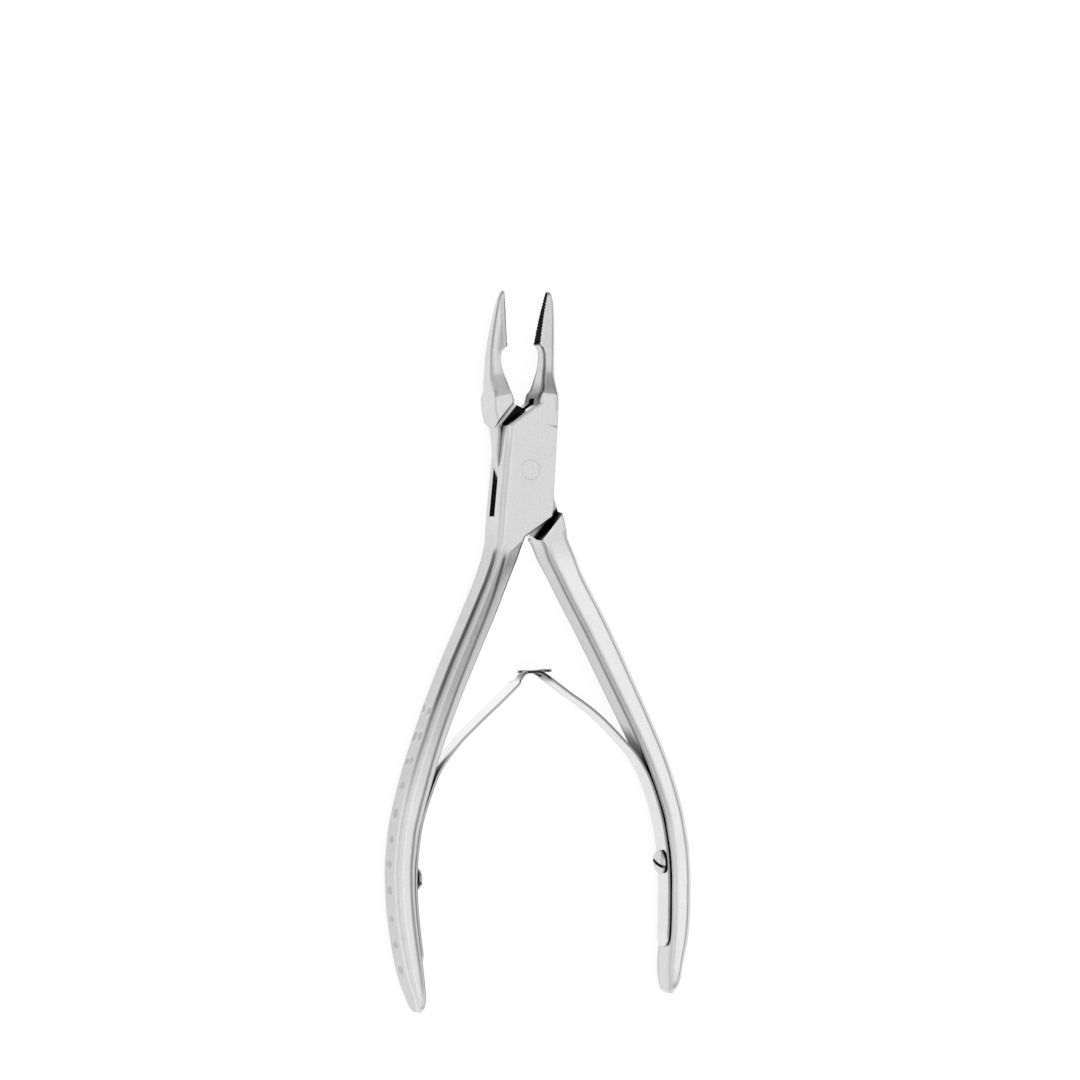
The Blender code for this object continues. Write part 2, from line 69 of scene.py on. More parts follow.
FEMALE_HANDLE = (
    (-109.4, 12.95, 12.15), (-108.6, 13.40, 11.80), (-107.0, 14.10, 11.85), (-104.0, 15.68, 12.43), (-100.0, 17.29, 13.36),
    (-96.0, 18.54, 14.35), (-90.0, 20.05, 15.65), (-85.0, 20.84, 16.45), (-80.0, 21.33, 16.86), (-75.0, 21.34, 16.76),
    (-70.0, 20.92, 16.07), (-65.0, 20.10, 15.05), (-60.0, 19.10, 14.00), (-55.0, 17.83, 12.70), (-50.0, 16.53, 11.20),
    (-45.0, 15.03, 9.60), (-40.0, 13.45, 7.88), (-35.0, 11.70, 6.16), (-30.0, 9.91, 4.44), (-26.0, 8.53, 3.20),
    (-22.0, 7.20, 2.05), (-18.0, 6.25, 0.95),
)
MALE_HANDLE = (
    (-109.5, 14.25, 13.45), (-108.7, 14.80, 12.95), (-107.0, 15.75, 13.05), (-104.0, 16.75, 13.45), (-100.0, 18.45, 14.45),
    (-96.0, 19.70, 15.45), (-90.0, 20.95, 16.60), (-85.0, 21.75, 17.45), (-80.0, 22.16, 17.85), (-75.0, 22.11, 17.85),
    (-70.0, 21.65, 17.25), (-65.0, 20.87, 16.30), (-60.0, 19.77, 15.10), (-55.0, 18.43, 13.60), (-50.0, 16.99, 11.95),
    (-45.0, 15.50, 10.30), (-40.0, 14.02, 8.65), (-35.0, 12.45, 6.95), (-30.0, 10.76, 5.15), (-26.0, 9.30, 3.70),
    (-22.0, 7.93, 2.38), (-18.0, 6.88, 1.01),
)
FEMALE_LEFT = (
    ((-15.0, -5.85), (-12.0, -5.95), (-9.0, BOX_LEFT)),
    ((-9.0, BOX_LEFT), (8.2, BOX_LEFT)),
    ((8.2, -6.0), (13.34, 0.34)),
    ((13.34, 0.34), (15.2, 0.60), (16.2, 1.20), (18.6, 1.45), (21.1, 1.66), (23.4, 1.52), (24.3, 1.22), (25.0, 0.68), (25.3, 0.36)),
    ((25.3, 0.36), (28.0, 0.52), (31.0, 0.80), (33.5, 1.10), (35.5, 1.40)),
    ((35.5, 1.40), (36.0, 1.62)),
)
FEMALE_RIGHT = (
    ((-16.0, -0.50), (-14.6, -0.12), (-13.4, 0.20)),
    ((-13.4, 0.20), (-8.8, 5.80)),
    ((-8.8, 5.80), (-6.0, 5.74), (-1.5, 5.56), (4.5, 5.36), (8.5, 5.18), (14.5, 4.80), (16.5, 4.52), (19.5, 4.30), (22.5, 4.05),
     (28.5, 3.60), (32.0, 3.26), (34.4, 2.86), (35.5, 2.50)),
    ((35.5, 2.50), (36.0, 2.10)),
)
MALE_LEFT = (
    ((-16.0, 0.65), (-15.0, 0.36), (-13.9, -0.30)),
    ((-13.9, -0.30), (-9.2, -5.85)),
    ((-9.2, -5.85), (1.0, -5.85), (5.0, -5.70), (8.0, -5.50), (10.0, -5.40), (11.5, -5.50), (12.7, -5.60), (15.1, -5.42), (17.1, -5.10),
     (19.5, -4.78), (22.0, -4.25), (24.6, -3.62), (27.3, -2.72), (30.35, -1.52), (32.6, -0.60), (34.8, 0.42), (35.5, 0.90)),
    ((35.5, 0.90), (36.0, 1.30)),
)
MALE_RIGHT = (
    ((-15.0, 5.90), (-12.0, 5.85), (-9.0, 5.50)),
    ((-9.0, 5.50), (-7.0, 5.20), (10.0, 4.90)),
    ((10.0, 4.90), (13.9, -0.95)),
    ((13.9, -0.95), (14.8, -1.15), (16.9, -1.38), (19.35, -1.52), (21.4, -1.68), (22.6, -1.62), (24.0, -1.10), (24.7, -0.33), (25.0, 0.24)),
    ((25.0, 0.24), (28.0, 0.68), (31.0, 1.18), (33.5, 1.58), (35.5, 1.84)),
    ((35.5, 1.84), (36.0, 1.72)),
)
HALF_THICK = (
    ((-109.4, 1.2), (-108.6, 2.3), (-107.0, 3.0), (-104.0, 3.4), (-100.0, 3.5)),
    ((-100.0, 3.5), (15.5, 3.5)),
    ((15.5, 3.5), (15.7, 3.45), (19.3, 2.32), (20.0, 2.14), (25.0, 1.60), (30.0, 1.15), (35.5, 0.62)),
    ((35.5, 0.62), (36.0, 0.34)),
)
# y, radius of the outer corner
OUTER_R = {
    True: ((-109.4, 0.7), (-104.0, 1.5), (-98.0, 1.9), (-60.0, 1.7), (-24.0, 1.6), (-17.0, 1.3), (-13.0, 1.1), (7.6, 1.1), (8.2, 0.5), (8.8, 0.25), (15.5, 0.30), (19.0, 1.0), (27.0, 0.9), (36.0, 0.5)),
    False: ((-109.5, 0.7), (-104.0, 1.2), (-98.0, 1.3), (-24.0, 1.25), (-17.0, 0.9), (-13.0, 0.5), (8.2, 0.5), (15.5, 0.7), (17.0, 1.6), (19.5, 2.2), (25.0, 1.7), (30.0, 1.2), (36.0, 0.6)),
}
# y, inner bevel's width, its depth, radius of its two edges, drop of the front face towards it
INNER = {
    True: (
        (-109.4, 0.40, 0.40, 0.20, 0.00), (-104.0, 0.90, 0.50, 0.25, 0.05), (-98.0, 0.95, 0.50, 0.25, 0.05), (-78.0, 1.15, 0.60, 0.25, 0.05),
        (-60.0, 1.50, 0.75, 0.30, 0.10), (-42.0, 2.00, 0.90, 0.30, 0.26), (-34.0, 2.35, 0.90, 0.30, 0.28), (-26.0, 2.65, 0.85, 0.30, 0.28),
        (-21.0, 2.75, 0.65, 0.30, 0.18), (-17.0, 2.40, 0.25, 0.20, 0.05), (-14.0, 0.30, 0.20, 0.12, 0.0),
        (8.8, 0.22, 0.22, 0.12, 0.0), (15.5, 0.30, 0.30, 0.12, 0.0), (20.0, 0.45, 0.50, 0.20, 0.0), (24.5, 0.40, 0.45, 0.15, 0.0), (25.4, 0.14, 0.16, 0.05, 0.0), (36.0, 0.10, 0.12, 0.04, 0.0),
    ),
    False: (
        (-109.5, 0.40, 0.40, 0.20, 0.00), (-104.0, 0.90, 0.45, 0.25, 0.10), (-98.0, 0.95, 0.50, 0.25, 0.16), (-78.0, 1.00, 0.55, 0.25, 0.18),
        (-70.0, 0.95, 0.75, 0.22, 0.22), (-24.0, 0.92, 0.80, 0.22, 0.26), (-19.0, 0.85, 0.65, 0.22, 0.15), (-14.0, 0.30, 0.30, 0.12, 0.0),
        (15.5, 0.30, 0.30, 0.12, 0.0), (20.0, 0.90, 0.60, 0.30, 0.0), (24.5, 0.75, 0.50, 0.25, 0.0), (25.4, 0.60, 0.35, 0.15, 0.0), (36.0, 0.35, 0.22, 0.10, 0.0),
    ),
}
TOOTH_PITCH = 0.62
TOOTH_DEPTH = 0.17

LEAF_SEAT = (-100.0, -96.0, -92.0, -88.0, -83.2, -79.0)
LEAF_GAP = 0.15
LEFT_LEAF_FREE = ((16.30, -75.0), (15.95, -71.5), (15.15, -67.9), (14.05, -63.9), (12.90, -60.9), (11.10, -57.9),
                  (8.90, -54.9), (6.40, -52.1), (3.80, -49.3), (1.20, -46.6))
RIGHT_LEAF_FREE = ((17.35, -75.0), (16.95, -71.0), (16.25, -67.0), (15.30, -63.8), (13.75, -60.3), (11.60, -57.1),
                   (9.30, -53.9), (6.90, -50.9), (4.30, -48.2), (1.70, -45.8))
LEAF_T = 0.62
LEAF_LOOK_T = 0.54
LEAF_W = 4.8
LEAF_TONGUE_W = 2.3
LEAF_FORK_W = 2.9
LEAF_CROSS = (0.64, -40.35)
TONGUE_END = ((-3.55, -1.75), (-2.75, -0.80), (-2.0, -0.22), (-1.1, 0.0), (0.4, 0.0), (2.1, 0.06), (3.1, 0.12))
FORK_END = ((2.7, -1.35), (1.8, -0.72), (0.95, -0.22), (0.1, 0.0), (-1.1, 0.0), (-2.25, 0.0))
LEAF_FORK_ROOT = 2.15
LEAF_HEAD_W = 4.4
SCREW_HEAD_R = 2.35
SCREW_HEAD_H = 1.25

# How strongly the painted shade lines of each arm show along its length, a negative strength painting a highlight: y,
# strength.
# "outer" runs along the outer corner, "crest" along the inner bevel's top edge at "crest_at" from the inner side,
# "sill" along its lower edge, "band" is the tone of the front face between them, "slope" that of the bevel,
# "flank" that of the outer side, "corner" a fine line where the box's rounded edge meets its face, "jaw" the jaw's middle.
PAINTED_SHADE_LINES = {
    True: {
        "outer": ((-110, 0.0), (-70, 0.0), (-60, 0.18), (-52, 0.34), (-46, 0.70), (-30, 0.78), (-20, 0.74), (-17.4, 0.62), (-16.2, 0.0), (23, 0.0), (26, 0.30), (36, 0.45)),
        "crest": ((-108, 0.0), (-104, 0.35), (-98, 0.50), (-60, 0.50), (-44, 0.52), (-26, 0.74), (-18.4, 0.78), (-16.9, 0.0), (36, 0.0)),
        "crest_at": ((-110, 0.95), (-98, 1.00), (-78, 1.18), (-60, 1.55), (-42, 1.95), (-34, 2.15), (-26, 2.35), (-18.5, 2.95), (-16, 3.10), (36, 3.10)),
        "sill": ((-106, 0.55), (-84, 0.62), (-70, 0.25), (-50, 0.20), (-36, 0.50), (-28, 0.80), (-14, 0.88), (-12.8, 0.80), (-12.2, 0.0), (13.5, 0.0), (15.5, 0.70), (24.5, 0.60), (25.2, 0.0), (36, 0.0)),
        "band": ((-110, -0.10), (-70, -0.10), (-60, 0.0), (-54, 0.10), (-44, 0.20), (-22, 0.22), (-17.5, 0.16), (-15.5, 0.0), (36, 0.0)),
        "slope": ((-110, 0.0), (-54, 0.0), (-40, 0.12), (-26, 0.24), (-18, 0.16), (-16, 0.0), (36, 0.0)),
        "flank": ((-110, 0.10), (-60, 0.14), (-40, 0.12), (-18, 0.08), (-12, 0.0), (36, 0.0)),
        "corner": ((-16, 0.0), (-14, 0.20), (8.0, 0.24), (8.6, 0.0)),
        "jaw": ((-110, 0.0), (24, 0.0), (36, 0.10)),
    },
    False: {
        "outer": ((-110, 0.20), (-60, 0.24), (-30, 0.24), (-18, 0.16), (-14, 0.0), (16.0, 0.0), (19.0, 0.24), (34, 0.50), (36, 0.60)),
        "crest": ((-108, 0.0), (-104, 0.05), (-80, 0.06), (-70, 0.20), (-30, 0.24), (-18, 0.20), (-15, 0.0), (22, 0.0), (26, 0.10), (36, 0.20)),
        "crest_at": ((-110, 0.95), (36, 0.95)),
        "sill": ((-106, 0.10), (-80, 0.15), (-72, 0.48), (-30, 0.42), (-15, 0.40), (-13, 0.0), (36, 0.0)),
        "band": ((-110, -0.12), (-20, -0.12), (-15, 0.0), (36, 0.0)),
        "slope": ((-110, 0.0), (-76, 0.0), (-68, 0.16), (-30, 0.22), (-18, 0.14), (-15, 0.0), (36, 0.0)),
        "flank": ((-110, 0.0), (36, 0.0)),
        "corner": ((-110, 0.0), (36, 0.0)),
        "jaw": ((-110, 0.0), (20.0, 0.0), (21.5, 0.14), (24, 0.34), (36, 0.34)),
    },
}

# Grip marks, filed across the outer corner of each handle: y of each, shut
GRIP_Y = tuple(-49.6 - 5.2 * i for i in range(11))

rng = np.random.default_rng(7)


# ---------------------------------------------------------------- curves
def smooth(run, at):
    x = np.array([p[0] for p in run], float)
    v = np.array([p[1] for p in run], float)
    if len(x) == 2:
        return float(np.interp(at, x, v))
    h, d = np.diff(x), np.diff(v) / np.diff(x)
    m = np.zeros(len(x))
    for i in range(1, len(x) - 1):
        if d[i - 1] * d[i] > 0:
            a, b = 2 * h[i] + h[i - 1], h[i] + 2 * h[i - 1]
            m[i] = (a + b) / (a / d[i - 1] + b / d[i])
    m[0], m[-1] = d[0], d[-1]
    i = int(np.clip(np.searchsorted(x, at) - 1, 0, len(h) - 1))
    t = (at - x[i]) / h[i]
    return float(
        (2 * t**3 - 3 * t**2 + 1) * v[i]
        + (t**3 - 2 * t**2 + t) * h[i] * m[i]
        + (3 * t**2 - 2 * t**3) * v[i + 1]
        + (t**3 - t**2) * h[i] * m[i + 1]
    )


def along(runs, at):
    for run in runs:
        if at <= run[-1][0] + 1e-9:
            return smooth(run, max(at, run[0][0]))
    return smooth(runs[-1], runs[-1][-1][0])


def form(table, at):
    cols = np.array(table, float)
    return [float(np.interp(at, cols[:, 0], cols[:, k])) for k in range(1, cols.shape[1])]


def edge(y, runs, handle, column, sign):
    first = runs[0][0]
    if y >= first[0]:
        return along(runs, y)
    profile = [(row[0], sign * row[column]) for row in handle]
    return smooth(profile + [first], y)


def rest_turn(female):
    return math.radians(-OPEN_HALF_DEG if female else OPEN_HALF_DEG)


def smoothstep(x, a, b):
    t = np.clip((np.asarray(x, float) - a) / (b - a), 0, 1)
    return t * t * (3 - 2 * t)


def edges_of(y, female):
    sign, handle = (-1.0, FEMALE_HANDLE) if female else (1.0, MALE_HANDLE)
    left_runs, right_runs = (FEMALE_LEFT, FEMALE_RIGHT) if female else (MALE_LEFT, MALE_RIGHT)
    left = edge(y, left_runs, handle, 1 if female else 2, sign)
    right = edge(y, right_runs, handle, 2 if female else 1, sign)
    return left, right


# ---------------------------------------------------------------- meshes
def fillet(points, radii, steps):
    """An open outline with its inner corners rounded, always with the same number of points."""
    out = [points[0]]
    for i in range(1, len(points) - 1):
        p, a, b = (np.array(q, float) for q in (points[i], points[i - 1], points[i + 1]))
        u, v = a - p, b - p
        lu, lv = np.linalg.norm(u), np.linalg.norm(v)
        u, v = u / max(lu, 1e-9), v / max(lv, 1e-9)
        cosine = float(np.clip(u @ v, -0.9999, 0.9999))
        half = math.acos(cosine) / 2
        t = min(radii[i - 1] / max(math.tan(half), 1e-6), 0.46 * lu, 0.46 * lv)
        p0, p2 = p + u * t, p + v * t
        for k in range(steps + 1):
            s = k / steps
            w = 0.5 / max(math.sin(half), 0.5)
            # a conic through the corner: close to a circular arc
            n = (1 - s) ** 2 + 2 * s * (1 - s) * math.sin(half) + s**2
            q = ((1 - s) ** 2 * p0 + 2 * s * (1 - s) * math.sin(half) * p + s**2 * p2) / n
            out.append((float(q[0]), float(q[1])))
    out.append(points[-1])
    return out


def refine(points, longest):
    """More points on the long straight stretches: longest[i] pieces on stretch i, where given."""
    out = []
    for i in range(len(points) - 1):
        n = longest.get(i, 1)
        for k in range(n):
            s = k / n
            out.append((points[i][0] + (points[i + 1][0] - points[i][0]) * s, points[i][1] + (points[i + 1][1] - points[i][1]) * s))
    out.append(points[-1])
    return out


STEPS = 5
SIDE_CUTS = 9
TOP_CUTS = 7


def half_outline(width, half, r_out, bw, bd, r_in, drop):
    """From the middle of the outer wall, over the top, to the middle of the inner wall."""
    fit = min(1.0, 0.72 * width / (r_out * 1.2 + bw))
    r_out, bw, r_in = r_out * fit, bw * fit, r_in * fit
    bd = min(bd, 0.72 * half)
    drop = min(drop, 0.2 * half)
    corners = [(0.0, 0.0), (0.0, half), (width - bw, half - drop), (width, half - drop - bd), (width, 0.0)]
    line = fillet(corners, (min(r_out, 0.92 * half), r_in, r_in), STEPS)
    # stretches: 0 outer wall, STEPS+1 the front face, the last the inner wall
    return refine(line, {0: SIDE_CUTS, STEPS + 1: TOP_CUTS, 2 * STEPS + 2: 4, len(line) - 2: 4})


def ring_of(y, female):
    left, right = edges_of(y, female)
    tip = (FEMALE_HANDLE if female else MALE_HANDLE)[0][0]
    half = along(HALF_THICK, y - (tip + 109.4) * (y < -98.0))
    (r_out,) = form(OUTER_R[female], y)
    bw, bd, r_in, drop = form(INNER[female], y)
    left_is_outer = female if y < 0 else not female
    if abs(y) < 9:
        left_is_outer = True
        if not female:
            r_out = 0.2
    if 25.3 < y < 35.45:
        # teeth on the gripping face
        row = int((y - 25.3) / TOOTH_PITCH)
        tooth = TOOTH_DEPTH * (0.82 + 0.18 * math.sin(2.7 * row + female)) * abs(2 * ((y - 25.3) / TOOTH_PITCH % 1.0) - 1.0)
        if female:
            left += tooth
        else:
            right -= tooth
    width = right - left
    top = half_outline(width, half, r_out, bw, bd, r_in, drop)
    if left_is_outer:
        pts = [(left + a, b) for a, b in top]
    else:
        pts = [(right - a, b) for a, b in reversed(top)]
    ring = [(x, y, MID_Z + z) for x, z in pts]
    ring += [(x, y, MID_Z - z) for x, z in reversed(pts[1:-1])]
    return ring


def stations(tip):
    ys = [tip, tip + 0.2, tip + 0.4, tip + 0.8, tip + 1.2, tip + 1.6, tip + 2.0, tip + 2.4, tip + 3.2, tip + 4.0, tip + 4.8]
    y = tip + 5.6
    while y < -46.0:
        ys.append(y)
        y += 0.5
    while y < -24.0:
        ys.append(y)
        y += 1.0
    while y < -8.8:
        ys.append(y)
        y += 0.5
    ys += [-16.0, -15.0, -14.6, -13.9, -13.4, -9.2, -9.0, -8.8, -7.0, -4.0, 0.0, 4.0, 8.2, 8.9, 9.5, 10.0, 10.7, 11.5, 12.1, 12.7, 13.0, 13.34, 13.6, 13.9, 14.3, 14.8, 15.2, 15.5]
    ys += list(np.arange(15.7, 25.2, 0.3)) + [23.4, 24.0, 24.3, 24.7, 25.0, 25.3]
    ys += [25.3 + TOOTH_PITCH / 2 * i for i in range(1, int((35.45 - 25.3) / (TOOTH_PITCH / 2)) + 1)]
    ys += [35.5, 35.6, 35.75, 35.9, 36.0]
    out = []
    for v in sorted(ys):
        if not out or v - out[-1] > 0.06:
            out.append(float(v))
    return out


def loft_bm(rings):
    bm = bmesh.new()
    rows = [[bm.verts.new(Vector(p) * MM) for p in ring] for ring in rings]
    count = len(rows[0])
    for a, b in zip(rows, rows[1:]):
        for i in range(count):
            j = (i + 1) % count
            bm.faces.new((a[i], a[j], b[j], b[i]))
    bm.faces.new(rows[0][::-1])
    bm.faces.new(rows[-1])
    bmesh.ops.recalc_face_normals(bm, faces=bm.faces)
    return bm


def object_from(name, bm):
    mesh = bpy.data.meshes.new(name)
    bm.to_mesh(mesh)
    bm.free()
    obj = bpy.data.objects.new(name, mesh)
    bpy.context.scene.collection.objects.link(obj)
    return obj


def prism(low, z_low, high, z_high):
    return loft_bm([[(x, y, z_low) for x, y in low], [(x, y, z_high) for x, y in high]])


def disc_stack(profile, sides, phase=0.37):
    rings = []
    for r, z in profile:
        angles = [2 * math.pi * (i + phase) / sides for i in range(sides)]
        rings.append([(r * math.cos(a), r * math.sin(a), z) for a in angles])
    return loft_bm(rings)


def applied(obj, cutters):
    """Cuts them all, then keeps the result as the mesh."""
    for c in cutters:
        m = obj.modifiers.new(c.name, "BOOLEAN")
        m.operation, m.solver, m.object = "DIFFERENCE", "EXACT", c
    dg = bpy.context.evaluated_depsgraph_get()
    mesh = bpy.data.meshes.new_from_object(obj.evaluated_get(dg))
    obj.modifiers.clear()
    old = obj.data
    obj.data = mesh
    bpy.data.meshes.remove(old)
    for c in cutters:
        bpy.data.objects.remove(c)
    return obj


def edge_break(obj, width, degrees, segments=2):
    m = obj.modifiers.new("edge_break", "BEVEL")
    m.width, m.segments, m.limit_method, m.angle_limit = width * MM, segments, "ANGLE", math.radians(degrees)
    m.harden_normals, m.use_clamp_overlap, m.miter_outer = False, True, "MITER_ARC"
    dg = bpy.context.evaluated_depsgraph_get()
    mesh = bpy.data.meshes.new_from_object(obj.evaluated_get(dg))
    obj.modifiers.clear()
    old = obj.data
    obj.data = mesh
    bpy.data.meshes.remove(old)


def shade(obj, degrees=32):
    obj.data.shade_smooth()
    obj.data.set_sharp_from_angle(angle=math.radians(degrees))


def weigh_normals(obj):
    """Flat faces stay flat beside their rounded edges."""
    m = obj.modifiers.new("flat_faces", "WEIGHTED_NORMAL")
    m.keep_sharp, m.weight = True, 100
    dg = bpy.context.evaluated_depsgraph_get()
    mesh = bpy.data.meshes.new_from_object(obj.evaluated_get(dg))
    obj.modifiers.clear()
    old = obj.data
    obj.data = mesh
    bpy.data.meshes.remove(old)


def coords(obj):
    co = np.zeros(len(obj.data.vertices) * 3, np.float32)
    obj.data.vertices.foreach_get("co", co)
    return co.reshape(-1, 3).astype(float)


def put_attribute(obj, name, values):
    a = obj.data.attributes.get(name) or obj.data.attributes.new(name, "FLOAT", "POINT")
    a.data.foreach_set("value", np.asarray(values, np.float32))


def shifted(line, distance, reach):
    (x0, y0), (x1, y1) = line
    length = math.hypot(x1 - x0, y1 - y0)
    ux, uy = (x1 - x0) / length, (y1 - y0) / length
    nx, ny = -uy * distance, ux * distance
    return (x0 + nx - ux * reach, y0 + ny - uy * reach), (x1 + nx + ux * reach, y1 + ny + uy * reach)


def female_slot():
    points = []
    for side in (1, -1):
        for x in (11.0, -3.0):
            points.append((side * x, side * (SLOT_SLOPE * x + SLOT_Y0)))
        points.append((side * -11.0, side * (SLOT_SLOPE * -3.0 + SLOT_Y0)))
    return prism(points, PLATE, points, THICK - PLATE)


def male_recess(upper):
    floor = shifted(PLATE_TOP_LEFT, SHOULDER_FLOOR, 6.0)
    crest = shifted(PLATE_TOP_LEFT, SHOULDER_CREST, 6.0)
    wall = shifted(PLATE_LOW_RIGHT, -SHOULDER_GAP, 6.0)
    wall_top = shifted(PLATE_LOW_RIGHT, -SHOULDER_GAP - 0.25, 6.0)
    far = 14.0
    at_floor = [floor[0], floor[1], (far, floor[1][1]), (far, wall[1][1]), wall[1], wall[0], (-far, wall[0][1]), (-far, floor[0][1])]
    at_top = [crest[0], crest[1], (far, crest[1][1]), (far, wall_top[1][1]), wall_top[1], wall_top[0], (-far, wall_top[0][1]), (-far, crest[0][1])]
    depth = THICK - PLATE - TONGUE_CLEAR - MID_Z
    out = THICK / 2 + 0.6
    rise = (out - depth) / (THICK / 2 - depth)
    at_out = [(a + (c - a) * rise, b + (d - b) * rise) for (a, b), (c, d) in zip(at_floor, at_top)]
    if upper:
        return prism(at_floor, MID_Z + depth, at_out, MID_Z + out)
    return prism(at_out, MID_Z - out, at_floor, MID_Z - depth)


def grip_marks(obj, female):
    """Small worn hollows on the outer side of each handle, where the fingers hold. Returns how deep each point lies in one."""
    co = coords(obj) / MM
    xs = np.interp(co[:, 1], GRID_Y, GRID[female][0 if female else 1])
    sign = -1.0 if female else 1.0
    inward = (co[:, 0] - xs) * -sign
    deep = np.zeros(len(co))
    rim = np.zeros(len(co))
    for k, y in enumerate(GRIP_Y):
        wide = 0.98 + 0.22 * math.sin(2.1 * k)
        for top in ((1, -1) if k < 3 else (0,)):
            zc = MID_Z + top * (1.45 - 0.25 * k)
            dy = (co[:, 1] - y + 0.25 * math.sin(1.7 * k + top)) / wide
            dz = (co[:, 2] - zc) / (1.15 if k < 3 else 1.5)
            dx = inward / 1.2
            q = np.sqrt(dy**2 + dz**2 + np.maximum(dx, 0) ** 2)
            deep = np.maximum(deep, 1 - smoothstep(q, 0.62, 1.0))
            rim = np.maximum(rim, (1.0 if k < 3 else 0.35) * smoothstep(q, 0.78, 1.0) * (1 - smoothstep(q, 1.05, 1.35)))
    rim *= 1 - deep
    co[:, 0] += -sign * 0.13 * deep
    obj.data.vertices.foreach_set("co", (co * MM).astype(np.float32).ravel())
    obj.data.update()
    put_attribute(obj, "rim", rim)
    return deep


GRID_Y = np.arange(-110.0, 36.01, 0.1)
GRID = {f: (np.array([edges_of(y, f)[0] for y in GRID_Y]), np.array([edges_of(y, f)[1] for y in GRID_Y])) for f in (True, False)}


# ---------------------------------------------------------------- the two arms
def make_arm(name, female):
    tip = (FEMALE_HANDLE if female else MALE_HANDLE)[0][0]
    obj = object_from(name, loft_bm([ring_of(y, female) for y in stations(tip)]))
    grip = grip_marks(obj, female)
    put_attribute(obj, "grip", grip)
    if female:
        bore = disc_stack([(PIN_R + 0.015, -1.0), (PIN_R + 0.015, THICK + 1.0)], 96)
        cutters = [object_from("c_slot", female_slot()), object_from("c_bore", bore)]
    else:
        bore = disc_stack([(PIN_R + 0.05, -1.0), (PIN_R + 0.05, THICK + 1.0)], 96)
        cutters = [object_from("c_top", male_recess(True)), object_from("c_bottom", male_recess(False)), object_from("c_bore", bore)]
    applied(obj, cutters)
    edge_break(obj, 0.07, 40)
    co = coords(obj) / MM
    left = np.interp(co[:, 1], GRID_Y, GRID[female][0])
    right = np.interp(co[:, 1], GRID_Y, GRID[female][1])
    y = co[:, 1]
    outer_is_left = np.where(np.abs(y) < 9, True, np.where(y < 0, female, not female))
    from_outer = np.where(outer_is_left, co[:, 0] - left, right - co[:, 0])
    from_inner = np.where(outer_is_left, right - co[:, 0], co[:, 0] - left)
    up = np.abs(co[:, 2] - MID_Z)
    half = np.array([along(HALF_THICK, v) for v in y])
    # painted shade on the gripping faces, between their teeth
    grip_end = 25.2 if female else 25.0
    dark = (y > grip_end) * (1 - smoothstep(from_inner, 0.20, 0.34)) * (1 - smoothstep(up / half, 0.90, 0.99)) * 0.985
    if not female:
        # nothing is added for this arm; the right jaw's painted shade is in the branch below
        pass
    else:
        # painted shade on the right jaw's inner wall, darkest next to the box and faint further up
        wall = (y > 12.8) & (y < 25.4)
        wall_shade = 0.70 * (1 - smoothstep(y, 14.5, 18.5)) + 0.06
        dark = np.maximum(dark, wall * wall_shade * (1 - smoothstep(from_inner, 0.25, 0.5)) * (1 - smoothstep(up / half, 0.93, 1.0) * 0.5))
    put_attribute(obj, "dark", dark)
    put_attribute(obj, "from_inner", from_inner)
    put_attribute(obj, "from_outer", from_outer)
    put_attribute(obj, "lift", up / half)
    put_attribute(obj, "plate", np.full(len(co), 1.0 if female else 0.0))
    put_attribute(obj, "across", co[:, 0])
    put_attribute(obj, "along", co[:, 1])
    for label, ((x0, y0), (x1, y1)) in (("to_top", PLATE_TOP_LEFT), ("to_low", PLATE_LOW_RIGHT)):
        length = math.hypot(x1 - x0, y1 - y0)
        put_attribute(obj, label, ((x1 - x0) * (co[:, 1] - y0) - (y1 - y0) * (co[:, 0] - x0)) / length)
    for label, table in PAINTED_SHADE_LINES[female].items():
        put_attribute(obj, label, np.interp(y, [t[0] for t in table], [t[1] for t in table]))
    # painted shade: the faces inside the joint, and those between the jaw's teeth, get a near-black material
    count = len(obj.data.polygons)
    centre, normal = np.zeros(count * 3, np.float32), np.zeros(count * 3, np.float32)
    obj.data.polygons.foreach_get("center", centre)
    obj.data.polygons.foreach_get("normal", normal)
    centre, normal = centre.reshape(-1, 3) / MM, normal.reshape(-1, 3)
    lo = np.interp(centre[:, 1], GRID_Y, GRID[female][0]) + 0.08
    hi = np.interp(centre[:, 1], GRID_Y, GRID[female][1]) - 0.08
    within = (centre[:, 0] > lo) & (centre[:, 0] < hi) & (np.abs(centre[:, 1]) < 16.5)
    level = np.abs(centre[:, 2] - MID_Z)
    if female:
        pit = within & (level < MID_Z - PLATE + 0.04)
        ramp = np.zeros(count, bool)
    else:
        depth = THICK - PLATE - TONGUE_CLEAR - MID_Z
        pit = within & (level < depth + 0.12)
        ramp = within & ~pit & (level < MID_Z - 0.1)
        ramp &= np.abs(normal[:, 2]) < 0.97
    if female:
        kind = pit.copy()
    else:
        kind = np.zeros(count, bool)
    near_inner = np.where(not female, hi + 0.08 - centre[:, 0], centre[:, 0] - lo + 0.08)
    middle = np.array([along(HALF_THICK, v) for v in centre[:, 1]])
    kind |= (centre[:, 1] > grip_end + 0.15) & (centre[:, 1] < 35.9) & (near_inner < 0.22) & (level < 0.93 * middle) & (np.abs(normal[:, 2]) < 0.5)
    obj.data.materials.clear()
    obj.data.materials.append(arm_steel)
    obj.data.materials.append(gap_shade_black)
    obj.data.polygons.foreach_set("material_index", kind.astype(np.int32))
    for label, mask in (("pit", pit), ("ramp", ramp)):
        a = obj.data.attributes.new(label, "FLOAT", "FACE")
        a.data.foreach_set("value", mask.astype(np.float32))
    obj.data.transform(Matrix.Rotation(rest_turn(female), 4, "Z"))
    shade(obj, 34)
    weigh_normals(obj)
    return obj


